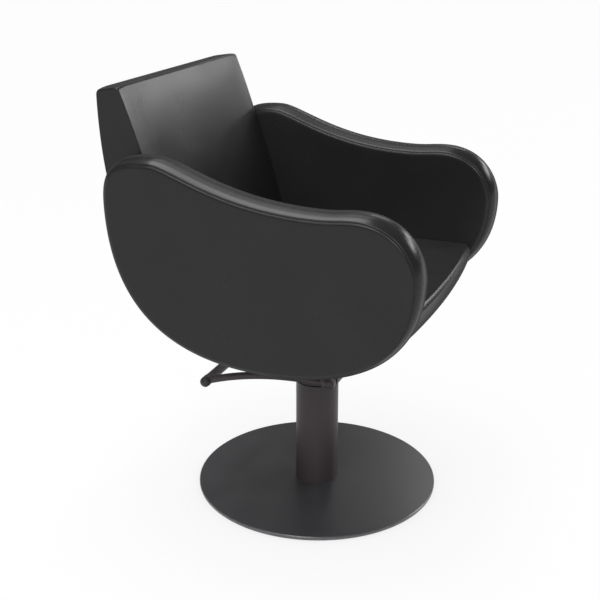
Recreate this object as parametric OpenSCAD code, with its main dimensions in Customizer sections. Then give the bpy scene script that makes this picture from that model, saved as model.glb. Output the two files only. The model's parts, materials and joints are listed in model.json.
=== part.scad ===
// Styling chair: a padded tub seat between two shaped arm panels, on a pump column with a disc base.
// Millimetres, +Z up. The origin is on the floor under the column, and the sitter faces -Y.

/* [Base] */
// Diameter of the round floor base
base_d = 500; // [440:5:600]
// Thickness of the steel base disc
base_t = 8; // [5:0.5:10]
// Thickness of the rubber mat under the disc
mat_t = 1; // [0.5:0.5:2]
// How far the mat stays inside the edge of the disc
mat_inset = 12; // [6:1:30]

/* [Column and ram] */
// Outer diameter of the fixed column tube
column_d = 88; // [86:1:92]
// Wall of the column tube
column_wall = 4; // [3:0.5:5]
// Height of the top edge of the column above the floor
column_top = 232; // [226:1:236]
// Diameter of the chromed ram
ram_d = 50; // [46:1:51]
// Wall of the ram tube
ram_wall = 6; // [4:0.5:8]

/* [Pump head] */
// Open joint between the column and the turning head
head_gap = 2; // [1:0.5:4]
// Outer diameter of the pump head
head_d = 107; // [105:1:112]
// Side of the square steel plate under the seat
plate_w = 220; // [200:2:230]
// Thickness of the plate
plate_t = 8; // [6:1:8]

/* [Foot lever] */
// Distance of the lever pivot in front of the column axis
pivot_y = 46; // [45:0.5:47]
// Distance of each lever arm from the centre plane
lever_x = 62; // [61:1:66]
// Width of the oval bar of the lever arms
lever_d = 13; // [10:1:14]
// Height of the oval bar of the lever arms
lever_h = 15.5; // [14.5:0.5:17]
// Radius of the arch of the lever arms
lever_arch = 640; // [600:4:680]
// Distance of the foot bar behind the column axis
bar_y = 224; // [205:1:230]
// Diameter of the foot bar over its tube
bar_d = 20; // [16:1:22]
// Length of the foot bar over its end caps
bar_len = 160; // [150:2:180]

/* [Arm panels] */
// Clear width between the two panels at their seams
arm_gap = 508; // [504:2:540]
// Thickness of a panel from seam to seam
arm_t = 60; // [54:1:72]
// How far the edge band swells out between its seams
arm_crown = 10; // [2:0.5:12]
// How far the padded faces stand proud of the seams
face_rise = 3; // [1:0.5:3]
// Furthest point to the rear
arm_rear_y = 290; // [276:1:296]
// Furthest point to the front
arm_nose_y = 286; // [276:1:296]
// Height of the rear lobe
arm_top_z = 733; // [720:1:750]
// Height of the dip in the arm rest
arm_dip_z = 666; // [655:1:669]
// Height of the front shoulder
arm_shoulder_z = 670; // [670:1:690]
// Height of the lowest point
arm_low_z = 373; // [368:1:378]

/* [Seat and back] */
// Height of the seat cushion beside the arms
seat_z = 481; // [474:1:490]
// Swell of the seat cushion in its middle
seat_crown = 6; // [0:0.5:10]
// How far the front edge bows forward in its middle
front_bow = 15; // [0:0.5:16]
// Height of the back rest
back_z = 855; // [845:1:866]
// Swell of the back cushion in its middle
back_crown = 5; // [0:0.5:8]
// Radius of the top corners of the back rest
back_corner = 8; // [5:1:20]
// Thickness of the upholstered shell under the seat
shell_t = 12; // [8:1:13]

/* [Hidden] */
$fn = 96;

// Running clearance on the radius of shafts in their bushes
run = 0.05;
// Small open gap between soft pieces that lie side by side
gap = 0.4;

base_top = mat_t + base_t;
column_r = column_d / 2;
bore_r = column_r - column_wall;
ram_r = ram_d / 2;
cyl_r = bore_r - 4.5;
cyl_bore_r = cyl_r - 5;
foot_top = base_top + 26;
cyl_z = foot_top - 8;
gland_z = column_top - 36;
screw_r = 4;
base_screw_ring = 20;

ram_low = foot_top + 24;
head_z = column_top + head_gap;
head_r = head_d / 2;
neck_r = 46;
plate_z = 377;
plate_top = plate_z + plate_t;
flange_r = 72;
flange_ring = 59;
flange_t = 10;
ceiling_z = plate_z - 27;
race_t = 4;
ball_r = 3;
ball_ring = 18;
ball_count = 12;
ball_play = 0.05;
race_top_z = ceiling_z - race_t;
race_low_z = race_top_z - 2 * ball_r - 2 * ball_play - race_t;
ram_top = race_low_z - 6;
head_bore_r = ram_r + 5;

pivot_z = head_z + 22;
shaft_r = 8;
pivot_boss_r = 16;
pivot_boss_x = 50;
bush_r = 11;
hub_r = 15;
hub_w = 13;
finger_len = 22;
finger_rise = 45;
finger_tip_r = 6;
block_w = 34;
slot_w = 11.2;
plunger_y = -pivot_y - finger_len * cos(finger_rise);
plunger_r = 8;
tip_z = pivot_z + finger_len * sin(finger_rise);
plunger_z = tip_z + finger_tip_r + 0.5;
plunger_top = plunger_z + 26;
barrel_top = plunger_top + 16;
bar_r = bar_d / 2;
arch_y = 5;
arch_z = pivot_z - 1.2 - lever_arch;
bar_z = arch_z + sqrt(pow(lever_arch, 2) - pow(bar_y - arch_y, 2));

arm_in = arm_gap / 2;
arm_out = arm_in + arm_t;
pad_t = 10;
band_t = 12;
tub_w = arm_in - face_rise;

board_z = 425;
board_t = 15;
board_top = board_z + board_t;
block_side = plate_w + 20;
back_slope = 0.304;
back_foot_y = 192;
back_low_z = board_top + 26;
back_board_t = 10;
pocket_w = tub_w - 13;
cover_t = 12;

function bez(p, t) =
  pow(1 - t, 3) * p[0] + 3 * pow(1 - t, 2) * t * p[1] + 3 * (1 - t) * t * t * p[2] + pow(t, 3) * p[3];
function bez_run(p, count) = [for (i = [0 : count - 1]) bez(p, i / count)];
function unit(v) = v / norm(v);
function side_of(v) = unit([v[1], -v[0]]);
function bez_normal(p, t) = side_of(bez(p, min(1, t + 0.01)) - bez(p, max(0, t - 0.01)));

// Outline of an arm panel as [y, z], from its six extreme points and the handle lengths between them
arm_rear = [arm_rear_y, 662];
arm_top = [199, arm_top_z];
arm_dip = [-110, arm_dip_z];
arm_shoulder = [-179, arm_shoulder_z];
arm_nose = [-arm_nose_y, 570];
arm_low = [-18, arm_low_z];
up = [0, 1];
front = [-1, 0];
arm_outline = concat(
  bez_run([arm_rear, arm_rear + 65 * up, arm_top - 51 * front, arm_top], 9),
  bez_run([arm_top, arm_top + 42 * front, arm_dip - 180 * front, arm_dip], 13),
  bez_run([arm_dip, arm_dip + 29 * front, arm_shoulder - 25 * front, arm_shoulder], 4),
  bez_run([arm_shoulder, arm_shoulder + 78 * front, arm_nose + 38 * up, arm_nose], 11),
  bez_run([arm_nose, arm_nose - 148 * up, arm_low + 146 * front, arm_low], 17),
  bez_run([arm_low, arm_low - 193 * front, arm_rear - 199 * up, arm_rear], 18)
);
function grown(line, d) = [
  for (i = [0 : len(line) - 1])
    line[i] + d * side_of(line[(i + 1) % len(line)] - line[(i + len(line) - 1) % len(line)])
];

// Side view of the tub as [y, z]: the front edge, the underside and the rear of the back rest
tub_low = [-10, 380];
tub_front = [-252, 466];
tub_rear = [332, back_z - 18];
front_run = [tub_front, tub_front - 48 * up, tub_low + 200 * front, tub_low];
rear_run = [tub_low, tub_low - 260 * front, tub_rear - 250 * up, tub_rear];
front_seam = 0.3;
rear_seam = 0.44;
function back_plane(z) = back_foot_y + back_slope * (z - board_top);

// Front face of the back rest as [y, z] at height fraction t
back_face = [[163, back_low_z], [183, 550], [233.5, 712], [284.5, back_z - 7]];

// The top of the back rest falls to the rear from a crest just behind its front edge
crest_y = 292;
top_fall = 0.2;
joint_z = (back_z + top_fall * (crest_y - back_foot_y + back_slope * board_top)) / (1 + top_fall * back_slope);

// Solid through rings of points with the same count, closed by fans to two centres or into a loop
module loft(rings, first, last, loop = false) {
  n = len(rings[0]);
  k = len(rings);
  spans = loop ? k : k - 1;
  sides = [
    for (r = [0 : spans - 1], i = [0 : n - 1])
      let (a = r * n, b = ((r + 1) % k) * n, j = (i + 1) % n)
        each [[a + i, b + i, a + j], [a + j, b + i, b + j]]
  ];
  caps = loop ? [] : [
    for (i = [0 : n - 1])
      let (j = (i + 1) % n)
        each [[k * n, i, j], [k * n + 1, (k - 1) * n + j, (k - 1) * n + i]]
  ];
  ring_points = [for (ring = rings) each ring];
  polyhedron(loop ? ring_points : concat(ring_points, [first, last]), concat(sides, caps));
}

// Solid through rings that each run along one side of a strip and back along the other
module strip_loft(rings) {
  n = len(rings[0]);
  k = len(rings);
  sides = [
    for (r = [0 : k - 2], i = [0 : n - 1])
      let (a = r * n, b = (r + 1) * n, j = (i + 1) % n)
        each [[a + i, b + i, a + j], [a + j, b + i, b + j]]
  ];
  ends = [
    for (i = [0 : n / 2 - 2])
      let (o = n - 1 - i, e = (k - 1) * n)
        each [[i, i + 1, o], [i + 1, o - 1, o], [e + i, e + o, e + i + 1], [e + i + 1, e + o, e + o - 1]]
  ];
  polyhedron([for (ring = rings) each ring], concat(sides, ends));
}

// Turns a [y, z] drawing into a solid between two x positions
module along_x(x0, x1) {
  translate([x0, 0, 0])
    rotate([90, 0, 90])
      linear_extrude(x1 - x0)
        children();
}

module both_sides() {
  children();
  mirror([1, 0, 0]) children();
}

module ring(r_in, r_out, z0, z1) {
  translate([0, 0, z0])
    difference() {
      cylinder(h = z1 - z0, r = r_out);
      translate([0, 0, -1]) cylinder(h = z1 - z0 + 2, r = r_in);
    }
}

module rod_x(r, x0, x1, y, z) {
  translate([x0, y, z])
    rotate([0, 90, 0])
      cylinder(h = x1 - x0, r = r);
}

module rounded_plate(w, r) {
  square([w - 2 * r, w], center = true);
  square([w, w - 2 * r], center = true);
  for (x = [-1, 1], y = [-1, 1])
    translate([x, y] * (w / 2 - r)) circle(r);
}

module on_circle(r, count, turn = 0) {
  for (i = [0 : count - 1])
    rotate(turn + i * 360 / count)
      translate([r, 0, 0]) children();
}

module on_corners(d) {
  for (x = [-d, d], y = [-d, d])
    translate([x, y, 0]) children();
}

module base_disc() {
  edge = 1.5;
  color("dimgray")
    difference() {
      rotate_extrude()
        polygon([
          [0, mat_t], [base_d / 2 - edge, mat_t], [base_d / 2, mat_t + edge],
          [base_d / 2, base_top - edge], [base_d / 2 - edge, base_top], [0, base_top]
        ]);
      on_circle(base_screw_ring, 4, 45) {
        translate([0, 0, mat_t - 1]) cylinder(h = base_t + 2, r = screw_r + 0.2);
        translate([0, 0, mat_t - 0.01]) cylinder(h = 4.5, r1 = 8.5, r2 = screw_r + 0.2);
      }
    }
}

module floor_mat() {
  color("black") cylinder(h = mat_t, r = base_d / 2 - mat_inset);
}

module base_screws() {
  color("silver")
    on_circle(base_screw_ring, 4, 45)
      rotate_extrude()
        polygon([
          [0, mat_t + 0.2], [8, mat_t + 0.2], [screw_r, mat_t + 4.4], [screw_r, cyl_z - 3], [0, cyl_z - 3]
        ]);
}

module column_tube() {
  color("gray")
    rotate_extrude()
      polygon([
        [bore_r, base_top], [column_r, base_top], [column_r, column_top - 1],
        [column_r - 1, column_top], [bore_r, column_top]
      ]);
}

module column_foot() {
  color("slategray")
    difference() {
      translate([0, 0, base_top]) cylinder(h = foot_top - base_top, r = bore_r);
      translate([0, 0, cyl_z]) cylinder(h = foot_top - cyl_z + 1, r = cyl_r);
      on_circle(base_screw_ring, 4, 45)
        translate([0, 0, base_top - 1]) cylinder(h = cyl_z - base_top, r = screw_r + 0.05);
    }
}

module cylinder_tube() {
  color("lightsteelblue") ring(cyl_bore_r, cyl_r, cyl_z, gland_z);
}

module cylinder_gland() {
  color("burlywood")
    difference() {
      ring(ram_r + run, bore_r, gland_z, column_top - 2);
      translate([0, 0, column_top - 8]) cylinder(h = 10, r = ram_r + 6);
    }
}

module wiper_seal() {
  color("black") ring(ram_r + run, ram_r + 6, column_top - 8, column_top - 1);
}

module ram_tube() {
  color("white") ring(ram_r - ram_wall, ram_r, ram_low, ram_top);
}

module piston() {
  low = ram_low - 18;
  color("goldenrod")
    rotate_extrude()
      polygon([
        [0, low], [cyl_bore_r - run, low], [cyl_bore_r - run, low + 6], [cyl_bore_r - 4, low + 6],
        [cyl_bore_r - 4, low + 12], [cyl_bore_r - run, low + 12], [cyl_bore_r - run, ram_low],
        [ram_r - ram_wall, ram_low], [ram_r - ram_wall, ram_low + 18], [0, ram_low + 18]
      ]);
}

module piston_seal() {
  color("black") ring(cyl_bore_r - 4, cyl_bore_r - run, ram_low - 12, ram_low - 6);
}

module ram_head() {
  color("silver")
    rotate_extrude()
      polygon([
        [5, ram_top - 30], [ram_r - ram_wall, ram_top - 30], [ram_r - ram_wall, ram_top], [ram_r, ram_top],
        [ram_r, race_low_z], [5, race_low_z]
      ]);
}

module thrust_race_lower() {
  color("lightgray") ring(12, ram_r - 1, race_low_z, race_low_z + race_t);
}

module thrust_balls() {
  color("gainsboro")
    on_circle(ball_ring, ball_count)
      translate([0, 0, race_low_z + race_t + ball_play + ball_r]) sphere(r = ball_r);
}

module ball_cage() {
  mid = race_low_z + race_t + ball_play + ball_r;
  color("peru")
    difference() {
      ring(13, ram_r - 2, mid - 1, mid + 1);
      on_circle(ball_ring, ball_count)
        translate([0, 0, mid - 2]) cylinder(h = 4, r = ball_r + 0.1);
    }
}

module thrust_race_upper() {
  color("lightgray") ring(12, ram_r - 1, race_top_z, ceiling_z);
}

module swivel_bushes() {
  color("sandybrown") {
    ring(ram_r + run, head_bore_r, head_z + 3, head_z + 27);
    ring(ram_r + run, head_bore_r, ram_top - 26, ram_top);
  }
}

module head_body() {
  flare = head_r - column_r;
  step = head_r - neck_r;
  foot = 5;
  rotate_extrude()
    polygon(concat(
      [[9, ceiling_z], [head_bore_r, ceiling_z], [head_bore_r, head_z], [column_r, head_z]],
      [for (a = [15 : 15 : 90]) [head_r - flare * cos(a), head_z + flare * sin(a)]],
      [for (a = [0 : 15 : 90]) [neck_r + step * cos(a), plate_z - 61 + step * sin(a)]],
      [for (a = [0 : 15 : 90]) [neck_r + foot * (1 - cos(a)), plate_z - flange_t - foot * (1 - sin(a))]],
      [[flange_r, plate_z - flange_t], [flange_r, plate_z], [9, plate_z]]
    ));
}

module pump_housing() {
  block_low = pivot_z + 8;
  block_top = barrel_top + 6;
  color("darkslategray")
    difference() {
      union() {
        head_body();
        translate([0, 0, block_low])
          linear_extrude(block_top - block_low) {
            translate([-block_w / 2, plunger_y]) square([block_w, -plunger_y - head_bore_r + 2]);
            translate([0, plunger_y]) circle(block_w / 2);
          }
        rod_x(pivot_boss_r, -pivot_boss_x, pivot_boss_x, -pivot_y, pivot_z);
      }
      translate([0, 0, head_z - 1]) cylinder(h = ceiling_z - head_z + 1, r = head_bore_r);
      rod_x(bush_r, -pivot_boss_x - 1, pivot_boss_x + 1, -pivot_y, pivot_z);
      translate([-slot_w / 2, plunger_y - 9, head_z - 1])
        cube([slot_w, -plunger_y + 9 - head_bore_r - 3, pivot_z - head_z + 31]);
      translate([0, plunger_y, tip_z]) cylinder(h = barrel_top - tip_z, r = plunger_r);
      on_circle(flange_ring, 4)
        translate([0, 0, plate_z - flange_t - 1]) cylinder(h = flange_t + 2, r = screw_r + 0.2);
    }
}

module flange_screws() {
  color("silver")
    on_circle(flange_ring, 4) {
      translate([0, 0, plate_z - flange_t - 8]) cylinder(h = 8, r = 6.5);
      translate([0, 0, plate_z - flange_t]) cylinder(h = flange_t + plate_t - 2, r = screw_r);
    }
}

module mount_plate() {
  color("gray")
    translate([0, 0, plate_z])
      difference() {
        linear_extrude(plate_t) rounded_plate(plate_w, 15);
        on_corners(plate_w / 2 - 20)
          translate([0, 0, -1]) cylinder(h = plate_t + 2, r = screw_r + 0.3);
        on_circle(flange_ring, 4)
          translate([0, 0, -1]) cylinder(h = plate_t + 2, r = screw_r + 0.05);
      }
}

module plate_bolts() {
  color("silver")
    on_corners(plate_w / 2 - 20) {
      translate([0, 0, plate_z - 5.3]) cylinder(h = 5.3, r = 7.5, $fn = 6);
      translate([0, 0, plate_z]) cylinder(h = board_top - plate_z - 4, r = screw_r);
    }
}

module bolt_holes(z0, z1) {
  on_corners(plate_w / 2 - 20)
    translate([0, 0, z0 - 1]) cylinder(h = z1 - z0 + 2, r = screw_r + 0.05);
}

module mount_block() {
  color("tan")
    difference() {
      translate([-block_side / 2, -block_side / 2, plate_top])
        cube([block_side, block_side, board_z - plate_top]);
      bolt_holes(plate_top, board_z);
    }
}

back_bolt_at = [[248.5, 550], [258.5, 585]];
rail_x = tub_w - 4;
rail_front = -90;
rail_len = 150;
rail_screw_y = [-70, -15, 40];
arm_bolt_y = [-42, 12];
arm_bolt_z = board_z - 11;

module seat_board() {
  color("wheat")
    difference() {
      translate([-tub_w + 2, -180, board_z]) cube([2 * tub_w - 4, 310, board_t]);
      bolt_holes(board_z, board_top);
      both_sides()
        for (y = rail_screw_y)
          translate([rail_x - 14, y, board_z - 1]) cylinder(h = 11.2, r = 2.05);
    }
}

module side_rails() {
  color("dimgray")
    both_sides()
      difference() {
        translate([0, rail_front, 0])
          rotate([90, 0, 180])
            mirror([1, 0, 0])
              linear_extrude(rail_len)
                polygon([
                  [tub_w, board_z - 21], [tub_w, board_z], [tub_w - 28, board_z],
                  [tub_w - 28, board_z - 4], [rail_x, board_z - 4], [rail_x, board_z - 21]
                ]);
        for (y = arm_bolt_y)
          rod_x(4.2, rail_x - 1, tub_w + 1, y, arm_bolt_z);
        for (y = rail_screw_y)
          translate([rail_x - 14, y, board_z - 5]) cylinder(h = 6, r = 2.2);
      }
}

module rail_screws() {
  color("silver")
    both_sides()
      for (y = rail_screw_y)
        translate([rail_x - 14, y, 0]) {
          translate([0, 0, board_z - 6.5]) cylinder(h = 2.5, r = 4);
          translate([0, 0, board_z - 4]) cylinder(h = 14, r = 2);
        }
}

module arm_bolts() {
  color("silver")
    both_sides()
      for (y = arm_bolt_y) {
        rod_x(6, rail_x - 5, rail_x, y, arm_bolt_z);
        rod_x(4, rail_x, arm_in + pad_t + 30, y, arm_bolt_z);
      }
}

// Share of the crown that a cushion keeps at distance x from its middle
function swell(x, w) = 1 - pow(x / w, 2);
// How far a cushion is drawn in at distance x from its middle, over an edge roll of width r
function drawn(x, w, r) = abs(x) < w - r ? 0 : r - sqrt(max(0, r * r - pow(abs(x) - w + r, 2)));

// Positions across a cushion, closer together where its edges roll over
function stations(w, r) = [
  -w, -w + 0.1 * r, -w + 0.3 * r, -w + 0.6 * r, -w + r, -0.75 * w, -0.5 * w, -0.25 * w, 0,
  0.25 * w, 0.5 * w, 0.75 * w, w - r, w - 0.6 * r, w - 0.3 * r, w - 0.1 * r, w
];

seat_w = tub_w - gap;

// Point of the bowed front and underside at curve fraction t and distance x from the middle
function front_point(t, x) =
  bez(front_run, t) + front_bow * swell(x, seat_w) * max(0, 1 - 1.2 * t * t) * front;
function at_x(x, line) = [for (p = line) [x, p[0], p[1]]];

module under_shell() {
  steps = 10;
  span_front = [for (i = [0 : steps]) front_seam + 0.01 + (0.99 - front_seam) * i / steps];
  span_rear = [for (i = [1 : steps]) (rear_seam - 0.004) * i / steps];
  sections = [
    for (f = [-1, -0.75, -0.4, 0, 0.4, 0.75, 1])
      let (
        x = f * seat_w,
        outer = concat(
          [for (t = span_front) front_point(t, x)],
          [for (t = span_rear) bez(rear_run, t)]
        ),
        inner = concat(
          [for (t = span_front) front_point(t, x) - shell_t * bez_normal(front_run, t)],
          [for (t = span_rear) bez(rear_run, t) - shell_t * bez_normal(rear_run, t)]
        )
      )
      at_x(x, concat(outer, [for (i = [1 : len(inner)]) inner[len(inner) - i]]))
  ];
  hole = block_side + 4;
  color("saddlebrown")
    difference() {
      strip_loft(sections);
      translate([-hole / 2, -hole / 2, tub_low[1] - 20]) cube([hole, hole, 80]);
    }
}

seat_roll = 6;
front_edge = 9;
seat_rear_y = back_plane(seat_z) - 44;
function seat_section(x) =
  let (
    s = swell(x, seat_w),
    d = drawn(x, seat_w, seat_roll),
    nose = front_point(0, x) + [0.5 * d, 0],
    edge_y = nose[0] + front_edge,
    under = front_point(front_seam, x),
    lip = bez_normal(front_run, front_seam)
  )
  concat(
    [[seat_rear_y - 10, board_top], [seat_rear_y, seat_z - d]],
    [for (i = [1 : 8])
      let (f = i / 9, y = seat_rear_y + f * (edge_y - seat_rear_y))
        [y, seat_z - d + seat_crown * s * pow(sin(180 * f), 0.7)]],
    [for (a = [90 : 15 : 180])
      [edge_y + (edge_y - nose[0]) * cos(a), nose[1] + (seat_z - d - nose[1]) * sin(a)]],
    [for (i = [1 : 4]) front_point(front_seam * i / 4, x) + [(0.5 - i / 8) * d, 0]],
    [under + ((board_top - under[1]) / lip[1]) * lip]
  );

module seat_cushion() {
  xs = stations(seat_w, seat_roll);
  color("firebrick")
    loft([for (x = xs) at_x(x, seat_section(x))], [-seat_w, -222, 455], [seat_w, -222, 455]);
}

back_roll = 3;
function back_section(x) =
  let (
    s = swell(x, seat_w),
    d = drawn(x, seat_w, back_roll),
    drop = drawn(x, seat_w, back_corner),
    low = back_low_z,
    k = 1 - drop / (back_z - low)
  )
  concat(
    [[back_plane(low) - gap, low], [back_plane(joint_z - drop) - gap, joint_z - drop]],
    [[crest_y + 8, back_z - 8 * top_fall - drop], [crest_y, back_z - drop]],
    [[crest_y - 4.5, back_z - 2 - drop]],
    [for (i = [0 : 9])
      let (f = 1 - i / 9, p = bez(back_face, f))
        [p[0] + d - back_crown * s * pow(sin(180 * f), 0.8), low + (p[1] - low) * k]]
  );

module back_cushion() {
  xs = stations(seat_w, back_corner);
  color("indianred")
    loft([for (x = xs) at_x(x, back_section(x))], [-seat_w, 225, 640], [seat_w, 225, 640]);
}

// Inner side of the rear cover as [y, z], from below upwards
hollow = [
  for (t = [0.5 : 0.04 : 0.965])
    bez(rear_run, t) - cover_t * bez_normal(rear_run, t)
];

module back_board() {
  low = hollow[0][1] + 2;
  high = hollow[len(hollow) - 1][1] - 2;
  color("wheat")
    along_x(-pocket_w + 3, pocket_w - 3)
      polygon([
        [back_plane(low), low], [back_plane(low) + back_board_t, low],
        [back_plane(high) + back_board_t, high], [back_plane(high), high]
      ]);
}

module back_cover() {
  steps = 16;
  run_t = [for (i = [0 : steps]) rear_seam + (1 - rear_seam) * i / steps];
  seam = bez(rear_run, rear_seam);
  lip = bez_normal(rear_run, rear_seam);
  reach = (back_plane(seam[1]) - seam[0]) / (lip[0] - back_slope * lip[1]);
  rear = [for (t = run_t) bez(rear_run, t)];
  last = len(hollow) - 1;
  corner = back_corner;
  color("brown")
    difference() {
      intersection() {
        along_x(-tub_w + gap, tub_w - gap)
          polygon(concat(
            rear,
            [tub_rear + [-1, 4.5], [tub_rear[0] - 4.5, back_z - (tub_rear[0] - 4.5 - crest_y) * top_fall]],
            [[back_plane(joint_z), joint_z]],
            [seam + reach * lip]
          ));
        translate([0, 500, 0])
          rotate([90, 0, 0])
            linear_extrude(600) {
              translate([-tub_w, 300]) square([2 * tub_w, joint_z - corner - 300]);
              translate([-tub_w + corner, 300]) square([2 * (tub_w - corner), joint_z - 300]);
              for (x = [-1, 1])
                translate([x * (tub_w - corner), joint_z - corner]) circle(corner);
            }
      }
      along_x(-pocket_w, pocket_w)
        polygon(concat(
          hollow,
          [[back_plane(hollow[last][1]) - 1, hollow[last][1]], [back_plane(hollow[0][1]) - 1, hollow[0][1]]]
        ));
      both_sides()
        for (p = back_bolt_at)
          rod_x(4.2, pocket_w - 1, tub_w + 1, p[0], p[1]);
    }
}

module back_brackets() {
  low = 535;
  high = 605;
  color("dimgray")
    both_sides()
      difference() {
        union() {
          along_x(pocket_w - 4, pocket_w)
            polygon([
              [back_plane(low) + back_board_t, low], [back_plane(low) + back_board_t + 24, low],
              [back_plane(high) + back_board_t + 24, high], [back_plane(high) + back_board_t, high]
            ]);
          along_x(pocket_w - 34, pocket_w - 4)
            polygon([
              [back_plane(low) + back_board_t, low], [back_plane(low) + back_board_t + 4, low],
              [back_plane(high) + back_board_t + 4, high], [back_plane(high) + back_board_t, high]
            ]);
        }
        for (p = back_bolt_at)
          rod_x(4.2, pocket_w - 5, pocket_w + 1, p[0], p[1]);
      }
}

module back_bolts() {
  color("silver")
    both_sides()
      for (p = back_bolt_at) {
        rod_x(6, pocket_w - 9, pocket_w - 4, p[0], p[1]);
        rod_x(4, pocket_w - 4, arm_in + pad_t + 30, p[0], p[1]);
      }
}

// Holes along X for the bolts that hold an arm panel
module arm_holes() {
  for (y = arm_bolt_y)
    rod_x(4.1, tub_w - 1, arm_in + pad_t + 31, y, arm_bolt_z);
  for (p = back_bolt_at)
    rod_x(4.1, tub_w - 1, arm_in + pad_t + 31, p[0], p[1]);
}

module arm_core() {
  difference() {
    along_x(arm_in + pad_t, arm_out - pad_t)
      polygon(grown(arm_outline, -band_t));
    arm_holes();
  }
}

arm_middle = [0, 545];

module arm_pad(face, seam, back) {
  lift = face - seam;
  rings = [
    at_x(back, grown(arm_outline, 0)),
    at_x(seam, grown(arm_outline, 0)),
    at_x(seam + 0.75 * lift, grown(arm_outline, -4)),
    at_x(face, grown(arm_outline, -12))
  ];
  order = back < face ? rings : [for (i = [1 : 4]) rings[4 - i]];
  low = min(back, face);
  high = max(back, face);
  loft(order, [low, arm_middle[0], arm_middle[1]], [high, arm_middle[0], arm_middle[1]]);
}

module arm_band() {
  crown = [
    for (f = [0, 0.07, 0.17, 0.32, 0.5, 0.68, 0.83, 0.93, 1])
      at_x(arm_in + arm_t * f, grown(arm_outline, arm_crown * (1 - pow(abs(2 * f - 1), 2.5))))
  ];
  root = [
    at_x(arm_out - pad_t, grown(arm_outline, 0)),
    at_x(arm_out - pad_t, grown(arm_outline, -band_t)),
    at_x(arm_in + pad_t, grown(arm_outline, -band_t)),
    at_x(arm_in + pad_t, grown(arm_outline, 0))
  ];
  loft(concat(crown, root), undef, undef, loop = true);
}

module inner_pad() {
  difference() {
    arm_pad(tub_w, arm_in, arm_in + pad_t);
    arm_holes();
  }
}

module outer_pad() {
  arm_pad(arm_out + face_rise, arm_out, arm_out - pad_t);
}

module left_arm_core() { color("burlywood") arm_core(); }
module left_arm_inner_pad() { color("maroon") inner_pad(); }
module left_arm_outer_pad() { color("darkred") outer_pad(); }
module left_arm_band() { color("tomato") arm_band(); }
module right_arm_core() { color("burlywood") mirror([1, 0, 0]) arm_core(); }
module right_arm_inner_pad() { color("maroon") mirror([1, 0, 0]) inner_pad(); }
module right_arm_outer_pad() { color("darkred") mirror([1, 0, 0]) outer_pad(); }
module right_arm_band() { color("tomato") mirror([1, 0, 0]) arm_band(); }

module pivot_bushes() {
  color("sandybrown")
    both_sides()
      difference() {
        rod_x(bush_r, slot_w / 2, pivot_boss_x, -pivot_y, pivot_z);
        rod_x(shaft_r + run, slot_w / 2 - 1, pivot_boss_x + 1, -pivot_y, pivot_z);
      }
}

hub_end = lever_x + hub_w / 2;

module pivot_shaft() {
  color("silver") rod_x(shaft_r, -hub_end, hub_end, -pivot_y, pivot_z);
}

module dome_x(r, depth, x, y, z) {
  ball = (r * r + depth * depth) / (2 * depth);
  translate([x, y, z])
    rotate([0, 90, 0])
      intersection() {
        cylinder(h = depth + 1, r = r);
        translate([0, 0, depth - ball]) sphere(r = ball);
      }
}

module shaft_caps() {
  color("gainsboro")
    both_sides()
      dome_x(shaft_r + 3, 5, hub_end, -pivot_y, pivot_z);
}

module rocker_finger() {
  color("orange")
    difference() {
      along_x(-slot_w / 2 + 0.6, slot_w / 2 - 0.6)
        translate([-pivot_y, pivot_z])
          rotate(180 - finger_rise) {
            circle(shaft_r + 4.5);
            translate([finger_len, 0]) circle(finger_tip_r);
            translate([0, 1 - finger_tip_r]) square([finger_len, 2 * finger_tip_r - 2]);
          }
      rod_x(shaft_r, -slot_w, slot_w, -pivot_y, pivot_z);
    }
}

module lever_section() {
  reach = (lever_h - lever_d) / 2;
  square([2 * reach, lever_d], center = true);
  for (side = [-1, 1])
    translate([side * reach, 0]) circle(lever_d / 2);
}

module lever_arm() {
  hub_turn = asin((-pivot_y - arch_y) / lever_arch);
  bar_turn = asin((bar_y - arch_y) / lever_arch);
  difference() {
    union() {
      rod_x(hub_r, hub_end - hub_w, hub_end, -pivot_y, pivot_z);
      rod_x(bar_r + 1, hub_end - hub_w, hub_end, bar_y, bar_z);
      translate([lever_x, arch_y, arch_z])
        rotate([90, 0, 90])
          rotate(90 - bar_turn)
            rotate_extrude(angle = bar_turn - hub_turn)
              translate([lever_arch, 0]) lever_section();
    }
    rod_x(shaft_r, hub_end - hub_w - 1, hub_end + 1, -pivot_y, pivot_z);
    rod_x(bar_r, hub_end - hub_w - 1, hub_end + 1, bar_y, bar_z);
  }
}

module left_lever_arm() { color("navy") lever_arm(); }
module right_lever_arm() { color("navy") mirror([1, 0, 0]) lever_arm(); }

bar_end = bar_len / 2 - 6;

module foot_bar() {
  color("lightgray")
    difference() {
      rod_x(bar_r, -bar_end, bar_end, bar_y, bar_z);
      rod_x(bar_r - 2, -bar_end - 1, bar_end + 1, bar_y, bar_z);
    }
}

module bar_caps() {
  color("black")
    both_sides() {
      rod_x(bar_r - 2, bar_end - 14, bar_end, bar_y, bar_z);
      dome_x(bar_r + 0.5, 6, bar_end, bar_y, bar_z);
    }
}

module pump_plunger() {
  color("yellow")
    translate([0, plunger_y, plunger_z])
      cylinder(h = plunger_top - plunger_z, r = plunger_r - run);
}

spring_turns = 4;
spring_wire = 0.8;
spring_mid_r = 6;
spring_rise = barrel_top - plunger_top - 2 * spring_wire - 0.4;

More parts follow.
